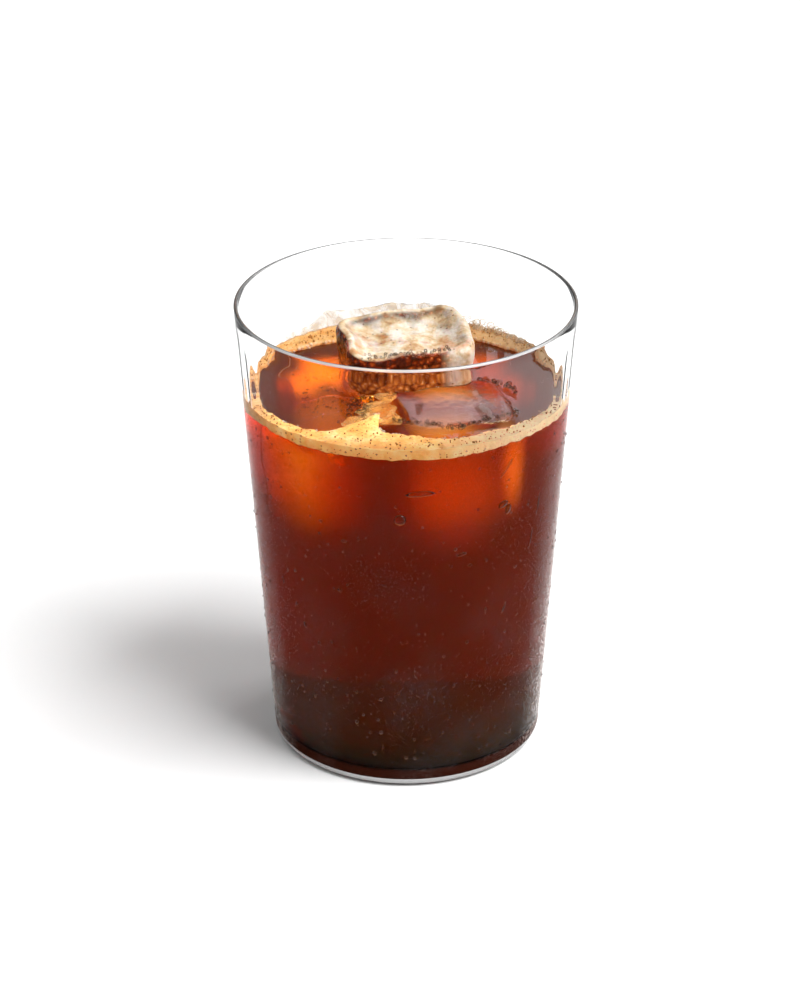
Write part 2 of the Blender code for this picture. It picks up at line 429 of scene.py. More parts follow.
def speckled(tree, place, colour, scale, spot_stops, share_stops, dark):
    """A colour with fine dark specks: a spot in the middle of some of the cells of a net."""
    cells = add(tree, "TexVoronoi", Vector=place, Scale=scale)
    spot = ramp(tree, cells.outputs["Distance"], spot_stops)
    few = add(tree, "SeparateColor", Color=cells.outputs["Color"]).outputs["Red"]
    specks = sums(tree, "MULTIPLY", spot, ramp(tree, few, share_stops))
    return add(
        tree,
        "Mix",
        {"data_type": "RGBA"},
        Factor_Float=specks,
        A_Color=colour,
        B_Color=linear(dark),
    ).outputs[2]


def quiet_glass(tree, ior, tint="#FFFFFF", **links):
    """A clear body that bends light in full but mirrors only at a glancing view and from within."""
    bend = add(tree, "BsdfRefraction", Color=linear(tint), Roughness=0.0, IOR=ior, **links)
    gloss = add(tree, "BsdfGlossy", Color=linear(tint), Roughness=0.0, **links)
    fresnel = add(tree, "Fresnel", IOR=ior, **links).outputs[0]
    return mix(tree, sums(tree, "MULTIPLY", fresnel, fresnel), bend.outputs[0], gloss.outputs[0])


def clear_glass():
    """Soda-lime glass, moulded and fire-polished: clear, with sharp reflections at the foot."""
    made, tree = material("soda_lime_glass_moulded")
    output(tree, polished(tree))
    return made


def polished(tree):
    return add(
        tree,
        "BsdfPrincipled",
        Base_Color=linear("#FCFDFD"),
        Roughness=0.0,
        IOR=GLASS_IOR,
        Transmission_Weight=1.0,
    ).outputs[0]


def glass_with_painted_light(name, start, end, most, core):
    """A rod of glass with a painted highlight, white light mixed in as a diffuse layer: start and end are
    places along the light's way.
    """
    made, tree = material(name)
    place = add(tree, "TexCoord").outputs["Object"]
    along = add(
        tree,
        "VectorMath",
        {"operation": "DOT_PRODUCT"},
        Vector=place,
        Vector_001=LIGHT_WAY,
    ).outputs["Value"]
    front = add(
        tree, "MapRange", Value=along, From_Min=start, From_Max=end, To_Min=0.0, To_Max=most
    ).outputs[0]
    facing = add(tree, "LayerWeight", Blend=0.5).outputs["Facing"]
    middle = ramp(tree, facing, core)
    # Painted highlight: a white diffuse layer mixed into the glass
    light = add(tree, "BsdfDiffuse", Color=linear("#FFFFFF"))
    output(tree, mix(tree, sums(tree, "MULTIPLY", front, middle), polished(tree), light.outputs[0]))
    return made


def calm_glass(name, tint="#FFFFFF"):
    """The same glass where it hardly mirrors anything: the thin dry wall, and where drink wets it."""
    made, tree = material(name)
    output(tree, quiet_glass(tree, GLASS_IOR, tint))
    return made


def dewed_glass():
    """Cold glass under a breath of dew: hazy at the foot, with a fine grain, and a painted sheen of haze
    at the silhouette.
    """
    made, tree = material("soda_lime_glass_dewed")
    place = add(tree, "TexCoord").outputs["Object"]
    dew = add(tree, "BsdfDiffuse", Color=linear("#E8DCD6"))
    # The dew's haze is painted stronger where the wall is seen edge-on, as a painted sheen, with broad
    # clouds and a grain in it
    facing = add(tree, "LayerWeight", Blend=0.25).outputs["Facing"]
    edge = ramp(tree, facing, ((0.35, 0.0), (1.0, 0.44)))
    clouds = add(tree, "TexNoise", Vector=place, Scale=60.0, Detail=3.0).outputs["Fac"]
    cloudy = ramp(tree, clouds, ((0.45, 0.0), (0.75, 0.02)))
    grain = add(tree, "TexNoise", Vector=place, Scale=1500.0, Detail=1.0).outputs["Fac"]
    rough = add(
        tree, "MapRange", Value=grain, From_Min=0.42, From_Max=0.7, To_Min=0.1, To_Max=3.0
    ).outputs[0]
    foot = span(tree, place, "Z", 30 * MM, 85 * MM, To_Min=1.0, To_Max=0.2)
    total = sums(tree, "MULTIPLY", sums(tree, "ADD", edge, cloudy, 0.001), rough, foot)
    # Over the thick rim of the floor the glass is painted the drink's dark brown: painted shade, standing
    # in for the dark drink and its shade seen through the glass
    brown = add(tree, "BsdfDiffuse", Color=linear("#34140A"))
    floor_rim_painted_shade = span(tree, place, "Z", 5.2 * MM, 4.4 * MM, To_Max=0.8)
    body = mix(tree, floor_rim_painted_shade, quiet_glass(tree, GLASS_IOR), brown.outputs[0])
    output(tree, mix(tree, total, body, dew.outputs[0]))
    return made


def below_level(tree, place):
    """1 under the drink's level and 0 over it."""
    height = add(tree, "SeparateXYZ", Vector=place).outputs["Z"]
    return add(
        tree, "Math", {"operation": "LESS_THAN"}, Value=height, Value_001=LEVEL - WET_MARGIN
    ).outputs[0]


def coffee():
    """Coffee in tonic: it takes out blue first, then green, and its fine oils scatter light."""
    made, tree = material("coffee_and_tonic_liquid")
    shader = add(
        tree,
        "BsdfPrincipled",
        Base_Color=linear("#FFFFFF"),
        Roughness=0.0,
        IOR=DRINK_IOR,
        Transmission_Weight=1.0,
    )
    place = add(tree, "TexCoord").outputs["Object"]
    surface = mix(tree, below_level(tree, place), shader.outputs[0], quiet_glass(tree, DRINK_IOR))
    # Absorption per metre in red, green and blue is density times one minus the colour
    stain = add(tree, "VolumeAbsorption", Color=(0.956, 0.79, 0.0, 1.0), Density=800.0)
    oils = add(tree, "VolumeScatter", Color=(1.0, 0.9, 0.8, 1.0), Density=21.0, Anisotropy=0.2)
    cloudy = add(tree, "AddShader")
    tree.links.new(stain.outputs[0], cloudy.inputs[0])
    tree.links.new(oils.outputs[0], cloudy.inputs[1])
    output(tree, surface, cloudy.outputs[0])
    return made


def foam_colour(tree, place):
    """Tan foam in soft patches, with fine dark specks of coffee, and painted shade in brown towards the
    back and the far left.
    """
    patches = add(tree, "TexNoise", Vector=place, Scale=220.0, Detail=4.0).outputs["Fac"]
    colour = ramp(tree, patches, ((0.3, "#F2A24C"), (0.5, "#FFBE68"), (0.72, "#FFD692")))
    colour = speckled(
        tree, place, colour, 900.0, ((0.16, 1.0), (0.32, 0.0)), ((0.55, 0.0), (0.7, 0.8)), "#5A3B16"
    )
    # Towards the right the foam has drained and is paler
    drained = span(tree, place, "X", 5 * MM, 26 * MM, To_Max=0.75)
    # Towards the back and the far left it lies in the glass's shade: there it is painted a darker brown,
    # as painted shade
    back = span(tree, place, "Y", 2 * MM, 20 * MM, To_Max=0.7)
    left = span(tree, place, "X", -27 * MM, -34 * MM, To_Max=0.7)
    painted_shade_share = sums(tree, "MAXIMUM", back, left)
    for share, tint in ((drained, "#FBE2BC"), (painted_shade_share, "#A87844")):
        colour = add(
            tree,
            "Mix",
            {"data_type": "RGBA"},
            Factor_Float=share,
            A_Color=colour,
            B_Color=linear(tint),
        ).outputs[2]
    return colour


def foam_bump(tree, place):
    pores = add(tree, "TexVoronoi", {"feature": "SMOOTH_F1"}, Vector=place, Scale=1500.0)
    return add(tree, "Bump", Strength=0.6, Distance=0.25 * MM, Height=pores.outputs["Distance"]).outputs[0]


def crema_foam():
    """Coffee foam, whipped by the pour: tan and soft, with pores and dark specks, and a faint painted glow
    in its own colour.
    """
    made, tree = material("crema_foam")
    place = add(tree, "TexCoord").outputs["Object"]
    colour = foam_colour(tree, place)
    shader = add(
        tree,
        "BsdfPrincipled",
        Base_Color=colour,
        Roughness=0.42,
        Subsurface_Weight=0.15,
        Subsurface_Scale=1.0 * MM,
        Normal=foam_bump(tree, place),
        # Painted glow: the foam shines faintly in its own colour, though it is no lamp
        Emission_Color=colour,
        Emission_Strength=0.2,
    )
    output(tree, shader.outputs[0])
    return made


def thin_foam(name, plain=None):
    """A film or raft of foam that has drained: see-through in places, mottled or in one plain colour."""
    made, tree = material(name)
    place = add(tree, "TexCoord").outputs["Object"]
    shader = add(
        tree,
        "BsdfPrincipled",
        Base_Color=linear(plain) if plain else foam_colour(tree, place),
        Roughness=0.35,
        Specular_IOR_Level=0.15,
        Normal=foam_bump(tree, place),
    )
    clear = add(tree, "BsdfTransparent")
    holes = add(tree, "TexNoise", Vector=place, Scale=320.0, Detail=5.0, Distortion=0.6)
    dense = ramp(tree, holes.outputs["Fac"], ((0.36, 0.05), (0.66, 0.5)))
    output(tree, mix(tree, dense, clear.outputs[0], shader.outputs[0]))
    return made


def burst_bubble():
    """A burst bubble in the foam: a dark wet pit."""
    made, tree = material("crema_burst_bubble")
    shader = add(tree, "BsdfPrincipled", Base_Color=linear("#B07838"), Roughness=0.3, IOR=DRINK_IOR)
    output(tree, shader.outputs[0])
    return made


def bubble_skin():
    """A bubble of foam: its rim catches light and its middle lets it through."""
    made, tree = material("crema_bubble_skin")
    shader = add(tree, "BsdfPrincipled", Base_Color=linear("#F8E6CC"), Roughness=0.12, IOR=DRINK_IOR)
    clear = add(tree, "BsdfTransparent")
    facing = add(tree, "LayerWeight", Blend=0.4).outputs["Facing"]
    rim = ramp(tree, facing, ((0.1, 0.15), (0.8, 0.9)))
    output(tree, mix(tree, rim, clear.outputs[0], shader.outputs[0]))
    return made


def bead(name, ior, painted_rim_colour, painted_rim_share, painted_glow_colour, painted_glow_share):
    """A bead of water or gas: clear in the middle, its rim painted dark as shade on the drops and beads
    and pale as light on the gas bubbles, and a painted glow along its lower side.
    """
    made, tree = material(name)
    # Painted rim: one colour standing in for the shade or light that the bead's edge would show
    rim = add(tree, "BsdfPrincipled", Base_Color=linear(painted_rim_colour), Roughness=0.08, IOR=WATER_IOR)
    facing = add(tree, "LayerWeight", Blend=0.5).outputs["Facing"]
    share = ramp(tree, facing, ((0.15, 0.08), (0.6, painted_rim_share)))
    body = mix(tree, share, quiet_glass(tree, ior), rim.outputs[0])
    # Painted glow along the lower side, where light would gather: the bead shines though it is no lamp
    normal = add(tree, "NewGeometry").outputs["Normal"]
    down = span(tree, normal, "Z", -0.3, -0.65, To_Max=painted_glow_share)
    lit = add(tree, "Emission", Color=linear(painted_glow_colour), Strength=0.6)
    output(tree, mix(tree, down, body, lit.outputs[0]))
    return made


def haze_with_painted_glow(middle, half, painted_haze_glow_colour, density, glow):
    """A haze that scatters light and fades outwards, with a painted glow: in the ice it stands for air
    frozen in as bubbles too fine to see.
    """
    made, tree = material("trapped_air_haze")
    place = add(tree, "TexCoord").outputs["Object"]
    away = place
    for operation, sizes in (("SUBTRACT", middle), ("DIVIDE", half)):
        away = add(
            tree,
            "VectorMath",
            {"operation": operation},
            Vector=away,
            Vector_001=[size * MM for size in sizes],
        ).outputs[0]
    length = add(tree, "VectorMath", {"operation": "LENGTH"}, Vector=away)
    fade = add(
        tree,
        "MapRange",
        {"interpolation_type": "SMOOTHSTEP"},
        Value=length.outputs["Value"],
        From_Min=1.0,
        From_Max=0.1,
    ).outputs[0]
    clear = add(tree, "BsdfTransparent")
    haze = add(
        tree,
        "VolumeScatter",
        Color=(1.0, 0.7, 0.45, 1.0),
        Density=sums(tree, "MULTIPLY", fade, density),
        Anisotropy=0.2,
    )
    # Painted glow: the haze shines in the glow colour, though it is no lamp
    painted_glow = add(tree, "Emission", Color=painted_haze_glow_colour, Strength=sums(tree, "MULTIPLY", fade, glow))
    both = add(tree, "AddShader")
    tree.links.new(haze.outputs[0], both.inputs[0])
    tree.links.new(painted_glow.outputs[0], both.inputs[1])
    output(tree, clear.outputs[0], both.outputs[0])
    return made


def ice(creamy):
    """Bar ice, melting: clear and wet, with a netted skin painted with light, foam left on the open top
    face, and a painted reflection on the flat tops of the other cubes.
    """
    made, tree = material("ice_wet_foamy" if creamy else "ice_wet")
    place = add(tree, "TexCoord").outputs["Object"]
    dents = add(tree, "TexNoise", Vector=place, Scale=420.0, Detail=3.0, Distortion=0.8)
    net = add(tree, "TexVoronoi", {"feature": "SMOOTH_F1"}, Vector=place, Scale=520.0)
    relief = sums(tree, "ADD", dents.outputs["Fac"], net.outputs["Distance"])
    bump = add(tree, "Bump", Strength=0.8, Distance=0.6 * MM, Height=relief)
    shader = add(
        tree,
        "BsdfPrincipled",
        Base_Color=linear("#FDFEFE"),
        Roughness=0.02,
        IOR=ICE_IOR,
        Transmission_Weight=1.0,
        Normal=bump.outputs[0],
    )
    skin = shader.outputs[0]
    if creamy:
        foam = add(
            tree,
            "BsdfPrincipled",
            Base_Color=frost_colour(tree, place),
            Roughness=0.3,
            Subsurface_Weight=0.2,
            Subsurface_Scale=1.5 * MM,
            Normal=foam_bump(tree, place),
        )
        # The front of the top cube gets the netted skin, painted with shade, glints and glow
        skin = mix(tree, net_mask(tree), skin, netted_skin_with_painted_light(tree, place))
        skin = mix(tree, frost_mask(tree, place), skin, foam.outputs[0])
    else:
        # A pale veil is painted on the flat tops towards the front: a painted reflection of the bright
        # room in the melt water
        normal = add(tree, "NewGeometry").outputs["Normal"]
        up = add(tree, "SeparateXYZ", Vector=normal).outputs["Z"]
        front = span(tree, place, "Y", -4 * MM, -9 * MM)
        painted_room_reflection = add(tree, "BsdfDiffuse", Color=linear("#C4A8A8"))
        flat = ramp(tree, up, ((0.9, 0.0), (0.98, 0.3)))
        skin = mix(tree, sums(tree, "MULTIPLY", flat, front), skin, painted_room_reflection.outputs[0])
    output(tree, mix(tree, below_level(tree, place), skin, quiet_glass(tree, ICE_IOR)))
    return made


def frost_colour(tree, place):
    """Foam that dries on the top cube: brown to grey-white patches with fine specks."""
    patches = add(tree, "TexNoise", Vector=place, Scale=230.0, Detail=7.0, Roughness=0.65)
    colour = ramp(tree, patches.outputs["Fac"], ((0.34, "#B0814F"), (0.46, "#D2B893"), (0.6, "#E4DACC")))
    return speckled(
        tree, place, colour, 700.0, ((0.12, 1.0), (0.24, 0.0)), ((0.45, 0.0), (0.55, 0.9)), "#6A5034"
    )


def netted_skin_with_painted_light(tree, place):
    """Froth caught on the front of the top cube, painted with light: dark red-brown cells of painted
    shade, a painted glint in the middle of each, and a painted golden glow towards the drink.
    """
    stir = add(tree, "TexNoise", Vector=place, Scale=500.0, Detail=2.0).outputs["Color"]
    stir = add(tree, "VectorMath", {"operation": "SCALE"}, Vector=stir, Scale=1.6 * MM)
    stirred = add(tree, "VectorMath", Vector=place, Vector_001=stir.outputs[0]).outputs[0]
    cells = add(tree, "TexVoronoi", Vector=stirred, Scale=760.0)
    away = cells.outputs["Distance"]
    # Painted light: the cells are dark as painted shade with a bright painted glint at each middle; lower
    # down they turn to a painted golden glow
    dark = ramp(tree, away, ((0.0, "#F4C088"), (0.14, "#A2481A"), (0.4, "#5C1D0A"), (0.75, "#200803")))
    golden_glow = ramp(tree, away, ((0.0, "#FFE6B4"), (0.16, "#DE8E3E"), (0.5, "#B4642A"), (0.8, "#662C0E")))
    low = span(tree, place, "Z", 97 * MM, 92 * MM)
    blend = add(tree, "Mix", {"data_type": "RGBA"}, Factor_Float=low, A_Color=dark, B_Color=golden_glow)
    bump = add(tree, "Bump", Strength=1.0, Distance=0.5 * MM, Height=away)
    return add(
        tree,
        "BsdfPrincipled",
        Base_Color=blend.outputs[2],
        Roughness=0.2,
        IOR=1.15,
        Normal=bump.outputs[0],
    ).outputs[0]


def net_mask(tree):
    """Where froth is caught on the top cube, with its painted light: its front, and less on its left side.
    """
    normal = add(tree, "NewGeometry").outputs["Normal"]
    away = add(
        tree,
        "VectorMath",
        {"operation": "DOT_PRODUCT"},
        Vector=normal,
        Vector_001=(-0.5, -0.85, 0.0),
    )
    return ramp(tree, away.outputs["Value"], ((0.3, 0.0), (0.6, 0.92)))


def frost_mask(tree, place):
    """Where foam lies on the top cube: on faces that look up, less towards its clear right side."""
    normal = add(tree, "NewGeometry").outputs["Normal"]
    up = add(tree, "SeparateXYZ", Vector=normal).outputs["Z"]
    up = ramp(tree, up, ((0.72, 0.0), (0.93, 1.0)))
    side = span(tree, place, "X", 6 * MM, 13 * MM, To_Min=1.0, To_Max=0.7)
    wear = add(tree, "TexNoise", Vector=place, Scale=260.0, Detail=5.0).outputs["Fac"]
    wear = ramp(tree, wear, ((0.3, 0.55), (0.5, 1.0)))
    # The right side is frosted: crushed white, and half clear
    right = add(
        tree,
        "VectorMath",
        {"operation": "DOT_PRODUCT"},
        Vector=normal,
        Vector_001=(0.97, -0.15, 0.2),
    )
    right = ramp(tree, right.outputs["Value"], ((0.5, 0.0), (0.8, 0.8)))
    corner = span(tree, place, "X", 8 * MM, 11 * MM, To_Max=0.8)
    top = sums(tree, "MULTIPLY", up, side)
    return sums(tree, "MULTIPLY", sums(tree, "MAXIMUM", top, right, corner), wear)


def studio_white():
    """The floor and its sweep: matt white paper."""
    made, tree = material("paper_white_matt")
    shader = add(tree, "BsdfDiffuse", Color=linear("#F6F6F6"))
    output(tree, shader.outputs[0])
    return made


def tumbler_section():
    """Out along the underside, up the outside, over the lip, down the inside and in to the axis."""
    foot = arc((outer_radius(FOOT_ROUND) - FOOT_ROUND, FOOT_ROUND), FOOT_ROUND, -math.pi / 2, -TAPER, 8)
    lip_radius = RIM_WALL / 2
    lip_z = HEIGHT - lip_radius
    lip = arc((outer_radius(lip_z) - lip_radius, lip_z), lip_radius, -TAPER, math.pi - TAPER, 10)
    fillet = arc((inner_radius(RIB_FOOT) - FLOOR_FILLET, RIB_FOOT), FLOOR_FILLET, -TAPER, -math.pi / 2, 8)
    shoulder = (outer_radius(LEVEL), LEVEL)
    outside = [*straight(foot[-1], shoulder, 30), shoulder, *straight(shoulder, lip[0], 8)]
    level = (inner_radius(LEVEL), LEVEL)
    dry = [(inner_radius(z), z) for _, z in straight(lip[-1], level, 20)]
    wet = [(inner_radius(z), z) for _, z in straight(level, fillet[0], 40)]
    inside = [*dry, level, *wet]
    underside = [
        (AXIS_RING, PUNT_DEPTH),
        (PUNT_RADIUS * 0.5, PUNT_DEPTH),
        (PUNT_RADIUS * 0.8, PUNT_DEPTH),
        (PUNT_RADIUS, 0.0),
    ]
    floor = [(fillet[-1][0] * 0.6, FLOOR), (AXIS_RING, FLOOR)]
    return [*underside, *foot, *outside, *lip, *inside, *fillet, *floor]


def ice_place(name):
    """Where a cube stands, from the middle of its top face."""
    (x, y, top), size, turn, _ = CUBES[name]
    rotation = Euler([math.radians(a) for a in turn]).to_matrix().to_4x4()
    half = size[2] / 2 * MM
    return Matrix.Translation(Vector((x, y, top)) * MM) @ rotation @ Matrix.Translation((0, 0, -half))


def select_where(obj, test, kind="VERT"):
    """Selects vertices, edges or faces in edit mode by a test on each."""
    bpy.ops.mesh.select_mode(type=kind)
    bpy.ops.mesh.select_all(action="DESELECT")
    body = bmesh.from_edit_mesh(obj.data)
    for part in {"VERT": body.verts, "EDGE": body.edges, "FACE": body.faces}[kind]:
        part.select = test(part)
    body.select_flush_mode()
    bmesh.update_edit_mesh(obj.data)


def melted(point):
    """A point of the ice moved by slow waves, so that no face stays flat."""
    turn = 2 * math.pi / MELT_WAVE
    return point + MELT * Vector(
        (
            math.sin(turn * point.y + 1.3),
            math.sin(turn * point.z + 0.4),
            math.sin(turn * point.x + 2.2),
        )
    )


def model_ice(name):
    """A moulded cube: a box, tapered, its edges bevelled, its open face sunk, then melted."""
    _, size, _, dish = CUBES[name]
    width, depth, height = (side * MM for side in size)
    deselect()
    bpy.ops.mesh.primitive_cube_add(size=1)
    obj = bpy.context.object
    bpy.ops.object.mode_set(mode="EDIT")
    bpy.ops.mesh.select_all(action="SELECT")
    bpy.ops.transform.resize(value=(width, depth, height), center_override=(0, 0, 0))
    select_where(obj, lambda v: v.co.z < 0)
    bpy.ops.transform.resize(value=(ICE_TAPER, ICE_TAPER, 1), center_override=(0, 0, -height / 2))
    select_where(obj, lambda e: e.verts[0].co.z * e.verts[1].co.z < 0, "EDGE")
    bpy.ops.mesh.bevel(offset=ICE_CORNER, segments=8, affect="EDGES")
    select_where(obj, lambda f: abs(f.normal.z) > 0.99, "FACE")
    bpy.ops.mesh.region_to_loop()
    bpy.ops.mesh.bevel(offset=ICE_EDGE, segments=5, affect="EDGES")
    select_where(obj, lambda f: f.normal.z > 0.99 and f.calc_center_median().z > height * 0.49, "FACE")
    for shrink, share in DISH_RINGS:
        bpy.ops.mesh.extrude_region_move(TRANSFORM_OT_translate={"value": (0, 0, 0)})
        bpy.ops.transform.resize(value=(shrink, shrink, 1), center_override=(0, 0, 0))
        step = dish * MM * share
        bpy.ops.transform.translate(value=(0, 0, -step))
    bpy.ops.object.mode_set(mode="OBJECT")
    apply_modifier(obj, "REMESH", mode="VOXEL", voxel_size=ICE_VOXEL)
    apply_modifier(obj, "SMOOTH", iterations=8, factor=0.5)
    for vertex in obj.data.vertices:
        vertex.co = melted(vertex.co)
    dents = bpy.data.textures.new(name + "_dents", "CLOUDS")
    dents.noise_scale = 5.0 * MM
    apply_modifier(obj, "DISPLACE", texture=dents, strength=0.5 * MM, mid_level=0.5)
    obj.data.transform(ice_place(name))
    return obj


def bump_at(angle, centre, width):
    """A soft bump round the ring: 1 at its centre, and almost 0 two widths away."""
    away = (angle - centre + 180.0) % 360.0 - 180.0
    return math.exp(-((away / width) ** 2))


def crema_inner_edge(degrees):
    """How far the crema's inner edge lies from the axis: waves, two tongues and an uneven line."""
    angle = math.radians(degrees)
    radius = 33.0 + 3.2 * math.cos(2 * angle) + 1.2 * math.sin(angle)
    radius += 0.45 * math.sin(5 * angle + 0.7) + 0.12 * math.sin(11 * angle + 2.1)
    radius -= 2.0 * bump_at(degrees, -97, 16)
    radius -= 12.5 * bump_at(degrees, -114, 8)
    radius += 0.6 * noise.noise((12 * math.cos(angle), 12 * math.sin(angle), 1.7))
    radius += 0.55 * noise.noise((34 * math.cos(angle), 34 * math.sin(angle), 4.1))
    return radius * MM


def crema_lift(degrees):
    """How far the crema's underside is raised or lowered against the drink's level."""
    angle = math.radians(degrees)
    wave = 0.15 * math.sin(7 * angle + 1.0)
    wave += 0.35 * noise.noise((16 * math.cos(angle), 16 * math.sin(angle), 9.3))
    return (wave + 0.35 * bump_at(degrees, -50, 16) - 1.6 * bump_at(degrees, -176, 15)) * MM


def smooth_section(points, steps):
    """A rounded line through the section's points, from the first to the last."""
    size = len(points)
    line = []
    for i in range(size - 1):
        before, start, end, after = (points[max(0, min(size - 1, i + k))] for k in (-1, 0, 1, 2))
        for s in range(steps):
            t = s / steps
            line.append(
                tuple(
                    0.5
                    * (
                        2 * b
                        + (c - a) * t
                        + (2 * a - 5 * b + 4 * c - d) * t * t
                        + (3 * b - a - 3 * c + d) * t**3
                    )
                    for a, b, c, d in zip(before, start, end, after)
                )
            )
    line.append(points[-1])
    return line


def model_crema():
    """The ring of crema, lofted between the wall and its uneven inner edge."""
    section = smooth_section(CREMA_SECTION, 5)
    heights = [height for _, height in section]
    middle = (min(heights) + max(heights)) / 2
    body = bmesh.new()
    rows = []
    for step in range(CREMA_STEPS):
        degrees = 360.0 * step / CREMA_STEPS
        edge = crema_inner_edge(degrees)
        row = []
        for share, height in section:
            z = LEVEL + height * MM
            if height < middle:
                z += crema_lift(degrees)
            wall = inner_radius(z) + REACH
            radius = wall + (edge - wall) * share
            row.append(body.verts.new(around(radius, degrees, z)))
        rows.append(row)
    for row, other in zip(rows, rows[1:] + rows[:1]):
        for j, corner in enumerate(row):
            k = (j + 1) % len(row)
            body.faces.new((corner, row[k], other[k], other[j]))
    obj = new_object(body, "crema_foam")
    for size, height in ((2.6, 0.7), (0.9, 0.35)):
        lumps = bpy.data.textures.new("crema_lumps", "CLOUDS")
        lumps.noise_scale = size * MM
        apply_modifier(obj, "DISPLACE", texture=lumps, strength=height * MM, mid_level=0.5, direction="Z")
    return obj


def new_object(body, name):
    mesh = bpy.data.meshes.new(name)
    body.to_mesh(mesh)
    body.free()
    obj = bpy.data.objects.new(name, mesh)
    bpy.context.scene.collection.objects.link(obj)
    return obj


def model_film():
    """Foam left on the back wall by the pour: a thin shell with an uneven upper edge."""
    angles, heights = zip(*FILM_EDGE)
    body = bmesh.new()
    rows = []
    for step in range(FILM_STEPS + 1):
        degrees = angles[0] + (angles[-1] - angles[0]) * step / FILM_STEPS
        top = np.interp(degrees, angles, heights) * MM
        top *= 1 + 0.12 * noise.noise((degrees * 0.12, 0, 0)) + 0.05 * noise.noise((degrees * 0.5, 5, 0))
        ends = min(1.0, min(step, FILM_STEPS - step) / FILM_ENDS)
        row = []
        for side in (0, 1):
            for i in range(FILM_ROUNDS + 1):
                share = i / FILM_ROUNDS if side == 0 else 1 - i / FILM_ROUNDS
                z = LEVEL - FILM_UNDER + (top + FILM_UNDER) * share
                lumpy = 1 + 0.15 * noise.noise((degrees * 0.3, share * 2, 2.0))
                depth = FILM_DEPTH * ends * math.sqrt(max(0.0, 1 - share**2)) * lumpy
                radius = inner_radius(z) + (REACH if side == 0 else -depth)
                row.append(body.verts.new(around(radius, degrees, z)))
        rows.append(row)
    for row, other in zip(rows, rows[1:]):
        for j, corner in enumerate(row):
            k = (j + 1) % len(row)
            body.faces.new((corner, other[j], other[k], row[k]))
    body.faces.new(rows[0])
    body.faces.new(reversed(rows[-1]))
    bmesh.ops.remove_doubles(body, verts=body.verts, dist=0.01 * MM)
    bmesh.ops.recalc_face_normals(body, faces=body.faces)
    return new_object(body, "crema_film")


def model_raft(middle, half, turn, lift):
    """A raft of foam afloat: a flattened ball with an uneven outline."""
    deselect()
    bpy.ops.mesh.primitive_uv_sphere_add(segments=64, ring_count=16, radius=1)
    obj = bpy.context.object
    obj.scale = (half[0] * MM, half[1] * MM, 0.45 * MM)
    obj.rotation_euler.z = math.radians(turn)
    obj.location = (middle[0] * MM, middle[1] * MM, LEVEL + lift * MM)
    bpy.ops.object.transform_apply(location=True, rotation=True, scale=True)
    centre = Vector(middle) * MM
    for vertex in obj.data.vertices:
        away = vertex.co.xy - centre
        wave = 1 + 0.55 * noise.noise((vertex.co.x * 260, vertex.co.y * 260, 3.3))
        vertex.co.xy = centre + away * wave
    return obj


def model_cloud(name, middle, half):
    """A cloud of haze with a painted glow: a ball drawn out to its half sizes, with an uneven outline."""
    deselect()
    bpy.ops.mesh.primitive_uv_sphere_add(segments=40, ring_count=20, radius=1)
    obj = bpy.context.object
    obj.scale = Vector(half) * MM
    obj.location = Vector(middle) * MM
    bpy.ops.object.transform_apply(location=True, rotation=True, scale=True)
    swells = bpy.data.textures.new(name + "_swells", "CLOUDS")
    swells.noise_scale = min(half) * MM
    apply_modifier(obj, "DISPLACE", texture=swells, strength=0.1 * min(half) * MM, mid_level=0.0)
    return obj


def seed_shape(flat, segments, rings):
    """A ball of few faces, or a drop with a flattened underside."""
    deselect()
    bpy.ops.mesh.primitive_uv_sphere_add(segments=segments, ring_count=rings, radius=1)
    obj = bpy.context.object
    shape = np.array([vertex.co[:] for vertex in obj.data.vertices])
    faces = [tuple(face.vertices) for face in obj.data.polygons]
    bpy.data.objects.remove(obj)
    if flat:
        shape[shape[:, 2] < 0, 2] *= 0.2
    return shape, faces


def scatter(name, places, flat=False, segments=8, rings=5):
    """One mesh of many small beads, each a copy of the seed shape put in its own place."""
    shape, faces = seed_shape(flat, segments, rings)
    points = []
    joined = []
    for i, place in enumerate(places):
        matrix = np.array(place)
        points.append(shape @ matrix[:3, :3].T + matrix[:3, 3])
        first = i * len(shape)
        joined.extend(tuple(first + corner for corner in face) for face in faces)
    mesh = bpy.data.meshes.new(name)
    mesh.from_pydata(np.concatenate(points).tolist(), [], joined)
    obj = bpy.data.objects.new(name, mesh)
    bpy.context.scene.collection.objects.link(obj)
    return obj


def on_wall(degrees, z, sizes, lean=0.0, sink=0.0, inside=False):
    """A frame on the wall: its own Z looks away from the wall, its own Y up along it."""
    angle = math.radians(degrees)
    radius = inner_radius(z) if inside else outer_radius(z)
    slope = (RIM_RADIUS - FOOT_RADIUS) / TALL
    out = Vector((math.cos(angle), math.sin(angle), -slope)).normalized()
    if inside:
        out = -out
    up = Vector((math.cos(angle) * slope, math.sin(angle) * slope, 1.0)).normalized()
    across = up.cross(out)
    turned = Matrix((across, up, out)).transposed() @ Matrix.Rotation(math.radians(lean), 3, "Z")
    base = Vector((radius * math.cos(angle), radius * math.sin(angle), z)) - out * sink
    return Matrix.Translation(base) @ turned.to_4x4() @ Matrix.Diagonal((*sizes, 1.0))


def around(radius, degrees, z):
    """A point round the axis."""
    angle = math.radians(degrees)
    return (radius * math.cos(angle), radius * math.sin(angle), z)


def ball_at(place, radius, squash=1.0):
    return Matrix.Translation(place) @ Matrix.Diagonal((radius, radius, radius * squash, 1.0))


